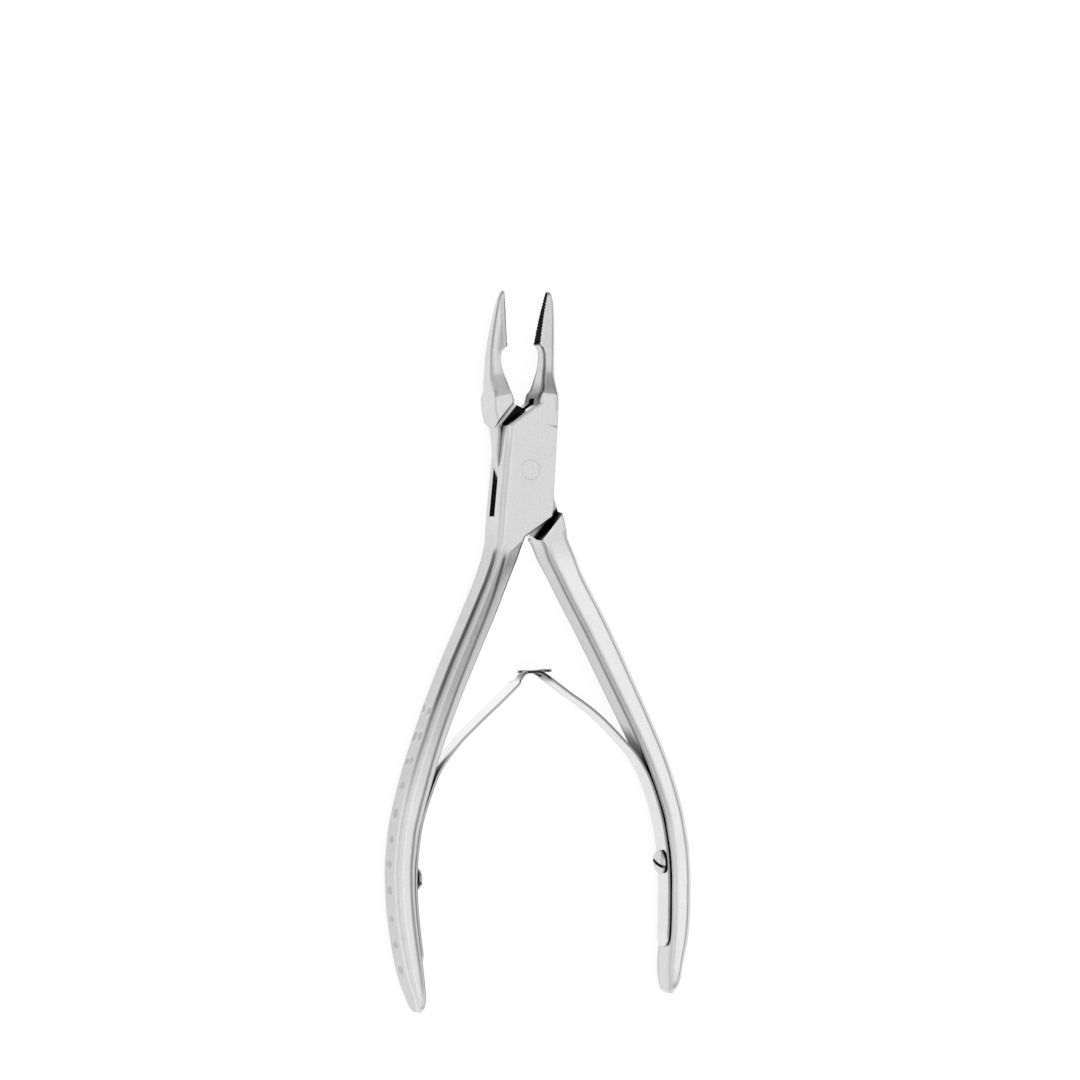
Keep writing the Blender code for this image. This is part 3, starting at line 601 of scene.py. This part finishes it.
# ---------------------------------------------------------------- leaves, screws, pin
def seat_point(female, y):
    sign, handle = (-1.0, FEMALE_HANDLE) if female else (1.0, MALE_HANDLE)
    profile = [(row[0], row[2]) for row in handle]
    x = smooth(profile, y)
    slope = smooth(profile, y + 0.5) - smooth(profile, y - 0.5)
    return Vector((sign * x, y, 0.0)), Vector((-sign, slope, 0.0)).normalized()


def screw_frame(female):
    point, out = seat_point(female, SCREW_Y)
    turn = out.to_track_quat("Z", "Y").to_matrix().to_4x4()
    here = Matrix.Translation((point + Vector((0, 0, MID_Z))) * MM) @ turn
    return Matrix.Rotation(rest_turn(female), 4, "Z") @ here


def leaf_path(female, end, steps=8):
    sign = -1.0 if female else 1.0
    pts = []
    for y in LEAF_SEAT:
        point, out = seat_point(female, y)
        pts.append(point + out * (LEAF_GAP + LEAF_T / 2))
    pts += [Vector((sign * x, y, 0.0)) for x, y in (LEFT_LEAF_FREE if female else RIGHT_LEAF_FREE)]
    turn = Matrix.Rotation(rest_turn(female), 3, "Z")
    pts = [turn @ p for p in pts]
    pts += [Vector((LEAF_CROSS[0] + x, LEAF_CROSS[1] + y, 0.0)) for x, y in end]
    fine = []
    for i in range(len(pts) - 1):
        p0, p1, p2 = pts[max(i - 1, 0)], pts[i], pts[i + 1]
        p3 = pts[min(i + 2, len(pts) - 1)]
        for k in range(steps):
            t = k / steps
            fine.append(0.5 * ((2 * p1) + (p2 - p0) * t + (2 * p0 - 5 * p1 + 4 * p2 - p3) * t**2 + (3 * p1 - p0 - 3 * p2 + p3) * t**3))
    fine.append(pts[-1])
    return fine


def make_leaf(name, female):
    end = TONGUE_END if female else FORK_END
    path = leaf_path(female, end)
    lengths = [0.0]
    for a, b in zip(path, path[1:]):
        lengths.append(lengths[-1] + (b - a).length)
    total = lengths[-1]
    rings = []
    round_r = 0.14
    for i, p in enumerate(path):
        a, b = path[max(i - 1, 0)], path[min(i + 1, len(path) - 1)]
        side = (b - a).normalized().cross(Vector((0, 0, 1)))
        left = total - lengths[i]
        w = LEAF_W
        if female:
            w = LEAF_TONGUE_W + (LEAF_W - LEAF_TONGUE_W) * float(smoothstep(left, 6.9, 8.1))
            if left < 1.0:
                w = LEAF_TONGUE_W + (LEAF_HEAD_W - LEAF_TONGUE_W) * float(1 - smoothstep(left, 0.55, 0.95))
        seat = lengths[i]
        if seat < 2.4:
            w = LEAF_W * math.sqrt(max(0.12, 1 - ((2.4 - seat) / 2.4) ** 2 * 0.8))
        w, t = w / 2, LEAF_LOOK_T / 2
        outline = []
        for sx, sz in ((1, 1), (-1, 1), (-1, -1), (1, -1)):
            quarter = []
            for k in range(4):
                ang = math.pi / 2 * k / 3
                quarter.append((sx * (t - round_r + round_r * math.cos(ang)), sz * (w - round_r + round_r * math.sin(ang))))
            outline += quarter if sx * sz > 0 else quarter[::-1]
            if sx == sz:
                pass
        ring = []
        for k, (ox, oz) in enumerate(outline):
            ring.append((p.x + side.x * ox, p.y + side.y * ox, MID_Z + oz))
        rings.append(ring)
    obj = object_from(name, loft_bm(rings))
    cutters = [object_from("c_hole", disc_stack([(1.45, -1.5), (1.45, 2.5)], 32))]
    cutters[0].data.transform(screw_frame(female))
    if not female:
        half, root = LEAF_FORK_W / 2, LEAF_CROSS[0] + LEAF_FORK_ROOT
        corner = 0.9
        zs = [MID_Z - half, MID_Z + half]
        outline = [(-6.0, -46.0), (root, -46.0), (root, -34.0), (-6.0, -34.0)]
        cutters.append(object_from("c_fork", prism(outline, zs[0], outline, zs[1])))
    applied(obj, cutters)
    co = coords(obj) / MM
    # painted shade along the leaf's top and bottom edges and where the two leaves hook together
    ends = np.abs(co[:, 2] - MID_Z)
    near = np.hypot(co[:, 0] - LEAF_CROSS[0], co[:, 1] - LEAF_CROSS[1])
    near = 1 - smoothstep(near, 2.8, 4.8)
    rim = smoothstep(ends, LEAF_W / 2 - 0.16, LEAF_W / 2 - 0.02)
    put_attribute(obj, "dark", np.maximum((0.50 if female else 0.60) * rim, near * (0.75 + 0.2 * rim)))
    shade(obj, 40)
    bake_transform(obj)
    return obj


def make_screw(name, female, body, slot_deg):
    seat = 0.12 + LEAF_T + 0.30
    r, h = SCREW_HEAD_R, SCREW_HEAD_H
    profile = [(0.9, -2.2), (1.15, -1.95), (1.15, seat - 0.02), (1.15, seat), (r - 0.1, seat), (r, seat + 0.1), (r, seat + 0.34 * h)]
    for k in range(1, 11):
        a = math.pi / 2 * k / 10.6
        profile.append((r * math.cos(a) ** 0.9, seat + h * (0.34 + 0.66 * math.sin(a))))
    obj = object_from(name, disc_stack(profile, 64, 0.0))
    slot = bmesh.new()
    bmesh.ops.create_cube(slot, size=1.0)
    bmesh.ops.scale(slot, vec=Vector((0.62, 6.0, 0.75 * h)) * MM, verts=slot.verts)
    bmesh.ops.translate(slot, vec=Vector((0, 0, seat + h * 0.9)) * MM, verts=slot.verts)
    bmesh.ops.rotate(slot, cent=Vector((0, 0, 0)), matrix=Matrix.Rotation(math.radians(slot_deg), 3, "Z"), verts=slot.verts)
    applied(obj, [object_from("c_driver", slot)])
    co = coords(obj) / MM
    # painted shade in the driver slot and under the edge of the head
    radius = np.hypot(co[:, 0], co[:, 1])
    c, s = math.cos(math.radians(slot_deg)), math.sin(math.radians(slot_deg))
    across = np.abs(co[:, 0] * c + co[:, 1] * s)
    in_slot = (across < 0.33) & (co[:, 2] > seat)
    dark = np.maximum(in_slot * 0.85, 0.75 * (1 - smoothstep(co[:, 2], seat + 0.05, seat + 0.42)) * (radius > 1.0))
    put_attribute(obj, "dark", dark)
    edge_break(obj, 0.05, 45)
    obj.data.transform(screw_frame(female))
    shade(obj, 40)
    weigh_normals(obj)
    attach(obj, body)
    return obj


def make_pin(name, body):
    r = PIN_R
    profile = [(0.15, 0.0), (r - 0.03, 0.0), (r, 0.03), (r, THICK - 0.03), (r - 0.03, THICK), (0.15, THICK)]
    obj = object_from(name, disc_stack(profile, 96))
    put_attribute(obj, "dark", np.zeros(len(obj.data.vertices)))
    obj.data.transform(Matrix.Rotation(rest_turn(True), 4, "Z"))
    shade(obj, 30)
    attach(obj, body)
    return obj


# ---------------------------------------------------------------- materials
class Nodes:
    def __init__(self, name):
        self.material = bpy.data.materials.new(name)
        self.material.use_nodes = True
        self.tree = self.material.node_tree
        self.bsdf = self.tree.nodes["Principled BSDF"]

    def add(self, kind, inputs=None, **settings):
        n = self.tree.nodes.new(kind)
        for k, v in settings.items():
            setattr(n, k, v)
        for k, v in (inputs or {}).items():
            if isinstance(v, bpy.types.NodeSocket):
                self.tree.links.new(v, n.inputs[k])
            else:
                n.inputs[k].default_value = v
        return n

    def link(self, a, b):
        self.tree.links.new(a, b)

    def math(self, operation, a, b=None, clamp=False):
        n = self.add("ShaderNodeMath", operation=operation, use_clamp=clamp)
        for i, v in enumerate((a, b)):
            if v is None:
                continue
            if isinstance(v, bpy.types.NodeSocket):
                self.tree.links.new(v, n.inputs[i])
            else:
                n.inputs[i].default_value = v
        return n.outputs[0]

    def ramp(self, value, stops, interpolation="LINEAR"):
        n = self.add("ShaderNodeValToRGB")
        n.color_ramp.interpolation = interpolation
        while len(n.color_ramp.elements) > 1:
            n.color_ramp.elements.remove(n.color_ramp.elements[-1])
        for i, (at, level) in enumerate(stops):
            e = n.color_ramp.elements[0] if i == 0 else n.color_ramp.elements.new(at)
            e.position = at
            e.color = (level, level, level, 1)
        self.tree.links.new(value, n.inputs[0])
        return n.outputs[0]


def arm_painted_shade(m, level, wobble):
    """Painted shade and painted highlights of the arms, from the distances that their meshes carry."""

    def read(label):
        return m.add("ShaderNodeAttribute", attribute_name=label).outputs["Fac"]

    def step(value, low, high):
        n = m.add("ShaderNodeMapRange", {"Value": value, "From Min": low, "From Max": high}, interpolation_type="SMOOTHSTEP")
        return n.outputs[0]

    def stripe(value, centre, half, soft):
        away = m.math("ABSOLUTE", m.math("SUBTRACT", value, centre))
        return m.math("SUBTRACT", 1.0, step(away, half, half + soft))

    def darken(level, amount):
        return m.math("MULTIPLY", level, m.math("SUBTRACT", 1.0, amount))

    def product(*values):
        out = values[0]
        for v in values[1:]:
            out = m.math("MULTIPLY", out, v)
        return out

    def less(value):
        return m.math("SUBTRACT", 1.0, value)

    outer, inner, lift = read("from_outer"), read("from_inner"), read("lift")
    outer = m.math("ADD", outer, m.math("MULTIPLY", wobble, 0.12))
    inner = m.math("ADD", inner, m.math("MULTIPLY", wobble, 0.12))
    top = step(lift, 0.80, 0.97)
    on_side = less(step(outer, 0.3, 1.0))
    level = darken(level, product(stripe(lift, 0.78, 0.05, 0.13), on_side, read("outer")))
    from_crest = m.math("SUBTRACT", inner, read("crest_at"))
    level = darken(level, product(stripe(from_crest, 0.0, 0.12, 0.50), top, read("crest")))
    level = darken(level, product(stripe(inner, 0.04, 0.14, 0.26), step(lift, 0.45, 0.75), read("sill")))
    level = darken(level, product(step(lift, 0.60, 0.78), step(from_crest, -0.3, 0.1), read("band")))
    level = darken(level, product(step(from_crest, -2.2, -0.1), less(step(from_crest, -0.2, 0.1)), read("slope")))
    level = darken(level, product(less(step(lift, 0.55, 0.72)), on_side, read("flank")))
    level = darken(level, product(stripe(outer, 1.10, 0.07, 0.22), step(lift, 0.9, 0.99), read("corner")))
    level = darken(level, product(step(inner, 0.55, 1.3), step(outer, 1.0, 1.9), top, read("jaw")))
    # painted shade under the plates: black in the corners and on the tongue's ramps, lighter on the tongue's left part,
    # outside the plates' shadow
    across, ahead = read("across"), read("along")
    to_low = read("to_low")
    shadow_edge = m.math("SUBTRACT", m.math("ADD", across, 5.46), m.math("MULTIPLY", m.math("SUBTRACT", ahead, 1.77), 0.2277))
    upper = product(step(shadow_edge, -0.15, 0.25), step(ahead, -2.0, 0.0), less(step(read("to_top"), -0.25, 0.0)))
    near_wall = m.math("ADD", 0.36, m.math("MULTIPLY", less(step(to_low, 0.2, 0.7)), 0.64))
    lower = m.math("MULTIPLY", less(step(ahead, -2.0, 0.0)), near_wall)
    level = darken(level, product(read("pit"), m.math("ADD", upper, lower), 0.985))
    level = darken(level, product(read("ramp"), less(step(lift, 0.34, 0.52)), 0.95))
    # painted shade lines along the plate's lower and upper edges
    rim_low = product(stripe(to_low, 0.0, 0.12, 0.24), read("plate"), step(across, -0.1, 0.2), less(step(ahead, -8.7, -8.3)), step(lift, 0.85, 0.97))
    level = darken(level, m.math("MULTIPLY", rim_low, 0.72))
    rim_top = product(stripe(read("to_top"), -0.1, 0.35, 0.25), read("plate"), step(ahead, 8.0, 8.5), less(step(ahead, 13.4, 13.8)), step(lift, 0.9, 0.99))
    level = darken(level, m.math("MULTIPLY", rim_top, 0.30))
    # painted shade inside the grip hollows and a painted highlight on their rims
    level = darken(level, m.math("MULTIPLY", read("grip"), 0.24))
    return m.math("MULTIPLY", level, m.math("ADD", 1.0, m.math("MULTIPLY", read("rim"), 0.16)))


def steel_material(name, base, rough, grain=1.0, crevice_shade=True, attributes=("dark",), scratch_axis="y", fine=2600.0, painted_shade_too=False):
    m = Nodes(name)
    where = m.add("ShaderNodeTexCoord").outputs["Object"]
    fine_noise = m.add("ShaderNodeTexNoise", {"Vector": where, "Scale": fine, "Detail": 3.0, "Roughness": 0.6}).outputs[0]
    broad = m.add("ShaderNodeTexNoise", {"Vector": where, "Scale": 190.0, "Detail": 4.0, "Roughness": 0.55}).outputs[0]
    scale = {"y": (5200.0, 260.0, 5200.0), "x": (260.0, 5200.0, 5200.0)}[scratch_axis]
    stretched = m.add("ShaderNodeMapping", {"Vector": where, "Scale": scale}).outputs[0]
    lines = m.add("ShaderNodeTexNoise", {"Vector": stretched, "Scale": 1.0, "Detail": 2.0, "Roughness": 0.5}).outputs[0]
    # light and dark grain, broad clouding and drawn scratches
    level = m.math("MULTIPLY_ADD", fine_noise, 0.30 * grain)
    m.tree.nodes[-1].inputs[2].default_value = 1.0 - 0.15 * grain
    cloud = m.math("MULTIPLY_ADD", broad, 0.16)
    m.tree.nodes[-1].inputs[2].default_value = 0.92
    streak = m.math("MULTIPLY_ADD", lines, 0.10 * grain)
    m.tree.nodes[-1].inputs[2].default_value = 1.0 - 0.05 * grain
    level = m.math("MULTIPLY", m.math("MULTIPLY", level, cloud), streak)
    for a in attributes:
        found = m.add("ShaderNodeAttribute", attribute_name=a).outputs["Fac"]
        keep = m.math("SUBTRACT", 1.0, found, clamp=True)
        level = m.math("MULTIPLY", level, keep)
    # painted shade and painted highlights, for the arms only
    if painted_shade_too:
        level = arm_painted_shade(m, level, m.math("SUBTRACT", broad, 0.5))
    if crevice_shade:
        # painted shade: darker where the AO node finds other surfaces close by, in crevices and gaps
        ao = m.add("ShaderNodeAmbientOcclusion", {"Distance": 0.0034}, samples=12).outputs["AO"]
        noisy = m.math("MULTIPLY_ADD", m.math("SUBTRACT", fine_noise, 0.5), 0.12)
        m.link(ao, m.tree.nodes[-1].inputs[2])
        level = m.math("MULTIPLY", level, m.ramp(noisy, CREVICE_SHADE))
    colour = m.add("ShaderNodeCombineColor", {"Red": m.math("MULTIPLY", level, base), "Green": m.math("MULTIPLY", level, base), "Blue": m.math("MULTIPLY", level, base)}).outputs[0]
    m.link(colour, m.bsdf.inputs["Base Color"])
    m.bsdf.inputs["Metallic"].default_value = 1.0
    roughness = m.math("MULTIPLY_ADD", broad, 0.12)
    m.tree.nodes[-1].inputs[2].default_value = rough - 0.06
    roughness = m.math("ADD", roughness, m.math("MULTIPLY", m.math("SUBTRACT", fine_noise, 0.5), 0.10 * grain), clamp=True)
    m.link(roughness, m.bsdf.inputs["Roughness"])
    height = m.math("ADD", m.math("MULTIPLY", fine_noise, 0.6), m.math("MULTIPLY", lines, 0.8))
    bump = m.add("ShaderNodeBump", {"Strength": 0.10 * grain, "Distance": 0.00006, "Height": height}).outputs[0]
    m.link(bump, m.bsdf.inputs["Normal"])
    return m.material


CREVICE_SHADE = [(0.0, 0.02), (0.26, 0.04), (0.40, 0.20), (0.52, 0.68), (0.62, 1.0), (1.0, 1.0)]

arm_steel = steel_material("arm_satin_steel", 0.67, 0.24, painted_shade_too=True)
# painted shade: a near-black material for faces inside the joint and between the teeth
black = Nodes("painted_shade_black")
black.bsdf.inputs["Roughness"].default_value = 0.55
black.bsdf.inputs["Specular IOR Level"].default_value = 0.0
shade_speckle = black.add("ShaderNodeTexNoise", {"Vector": black.add("ShaderNodeTexCoord").outputs["Object"], "Scale": 3200.0, "Detail": 3.0}).outputs[0]
black.link(black.ramp(shade_speckle, [(0.30, 0.004), (0.55, 0.016), (0.72, 0.07)]), black.bsdf.inputs["Base Color"])
gap_shade_black = black.material
pin_steel = steel_material("pin_ground_steel", 0.67, 0.24, crevice_shade=False)
# one spring steel in two copies: the left leaf's is painted lighter, a painted reflection of the bright surroundings
leaf_steel = {
    "left": steel_material("left_leaf_steel_painted_light", 0.92, 0.18, grain=0.6, crevice_shade=False),
    "right": steel_material("right_leaf_spring_steel", 0.78, 0.20, grain=0.6, crevice_shade=False),
}
screw_steel = steel_material("screw_polished_steel", 0.66, 0.16, grain=0.6, crevice_shade=True)

female = make_arm("look_female_arm", True)
male = make_arm("look_male_arm", False)
for piece, body, node in ((female, "female_side", "female_arm"), (male, "male_side", "male_arm")):
    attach(piece, body)
    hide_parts(node)

pin = make_pin("look_pivot_pin", "female_side")
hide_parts("pivot_pin")
pin.data.materials.append(pin_steel)
for side, is_female, arm_body in (("left", True, "female_side"), ("right", False, "male_side")):
    leaf = make_leaf("look_" + side + "_leaf", is_female)
    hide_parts(side + "_leaf_spring")
    leaf.data.materials.clear()
    leaf.data.materials.append(leaf_steel[side])
    screw = make_screw("look_" + side + "_screw", is_female, arm_body, 22.0 if is_female else -22.0)
    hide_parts(side + "_spring_screw")
    screw.data.materials.clear()
    screw.data.materials.append(screw_steel)

# ---------------------------------------------------------------- floor, light, camera
bm = bmesh.new()
bmesh.ops.create_grid(bm, x_segments=1, y_segments=1, size=4.0)
floor = object_from("floor", bm)
floor.location.z = -0.00005
paper = Nodes("white_paper")
paper.bsdf.inputs["Base Color"].default_value = (0.16, 0.16, 0.16, 1)
paper.bsdf.inputs["Roughness"].default_value = 0.9
paper.bsdf.inputs["Specular IOR Level"].default_value = 0.0
paper.bsdf.inputs["Emission Color"].default_value = (1, 1, 1, 1)
paper.bsdf.inputs["Emission Strength"].default_value = 0.90
floor.data.materials.append(paper.material)

# A light tent: bright overhead and near the ground, with a darker band between, on both sides
SKY = ((-180, 1.0), (-94, 1.0), (-86, 0.86), (-48, 0.84), (-36, 0.95), (-22, 1.0), (-8, 0.86), (4, 1.0), (11, 1.12), (19, 1.17), (25, 1.20), (31, 0.78), (38, 0.46), (50, 0.42), (62, 0.78), (74, 1.05), (90, 1.0), (180, 1.0))
world = bpy.data.worlds.new("tent")
bpy.context.scene.world = world
world.use_nodes = True
tree = world.node_tree
tree.nodes.clear()
coord = tree.nodes.new("ShaderNodeTexCoord")
split = tree.nodes.new("ShaderNodeSeparateXYZ")
tree.links.new(coord.outputs["Generated"], split.inputs[0])
angle = tree.nodes.new("ShaderNodeMath")
angle.operation = "ARCTAN2"
tree.links.new(split.outputs["X"], angle.inputs[0])
tree.links.new(split.outputs["Z"], angle.inputs[1])
fit = tree.nodes.new("ShaderNodeMapRange")
fit.inputs["From Min"].default_value = -math.pi
fit.inputs["From Max"].default_value = math.pi
tree.links.new(angle.outputs[0], fit.inputs["Value"])
band = tree.nodes.new("ShaderNodeValToRGB")
band.color_ramp.interpolation = "LINEAR"
while len(band.color_ramp.elements) > 1:
    band.color_ramp.elements.remove(band.color_ramp.elements[-1])
for i, (deg, level) in enumerate(SKY):
    e = band.color_ramp.elements[0] if i == 0 else band.color_ramp.elements.new(deg / 360 + 0.5)
    e.position = deg / 360 + 0.5
    e.color = (level, level, level, 1)
tree.links.new(fit.outputs[0], band.inputs[0])
far = tree.nodes.new("ShaderNodeMapRange")
far.interpolation_type = "SMOOTHSTEP"
for k, v in {"From Min": 0.24, "From Max": 0.50, "To Min": 1.0, "To Max": 0.62}.items():
    far.inputs[k].default_value = v
tree.links.new(split.outputs["Y"], far.inputs["Value"])
shaded = tree.nodes.new("ShaderNodeVectorMath")
shaded.operation = "SCALE"
tree.links.new(band.outputs[0], shaded.inputs[0])
tree.links.new(far.outputs[0], shaded.inputs["Scale"])
back = tree.nodes.new("ShaderNodeBackground")
tree.links.new(shaded.outputs[0], back.inputs["Color"])
back.inputs["Strength"].default_value = 1.0
out = tree.nodes.new("ShaderNodeOutputWorld")
tree.links.new(back.outputs[0], out.inputs[0])

TILT = math.radians(-2.1)
LEAN = math.radians(25.0)
turn = Matrix.Rotation(TILT, 3, "Z")
right = turn @ Vector((math.cos(LEAN), 0, math.sin(LEAN)))
upward = turn @ Vector((0, 1, 0))
backward = turn @ Vector((-math.sin(LEAN), 0, math.cos(LEAN)))
camera_data = bpy.data.cameras.new("camera")
camera_data.lens, camera_data.sensor_width = 200.0, 36.0
camera_data.clip_start, camera_data.clip_end = 0.05, 20.0
camera = bpy.data.objects.new("camera", camera_data)
bpy.context.scene.collection.objects.link(camera)
placed = Matrix((right, upward, backward)).transposed().to_4x4()
placed.translation = right * 0.0048 + upward * -0.0140 + backward * (1.2 + 0.0025)
camera.matrix_world = placed
bpy.context.scene.camera = camera
bpy.context.scene.view_settings.view_transform = "Standard"
bpy.context.scene.view_settings.look = "None"
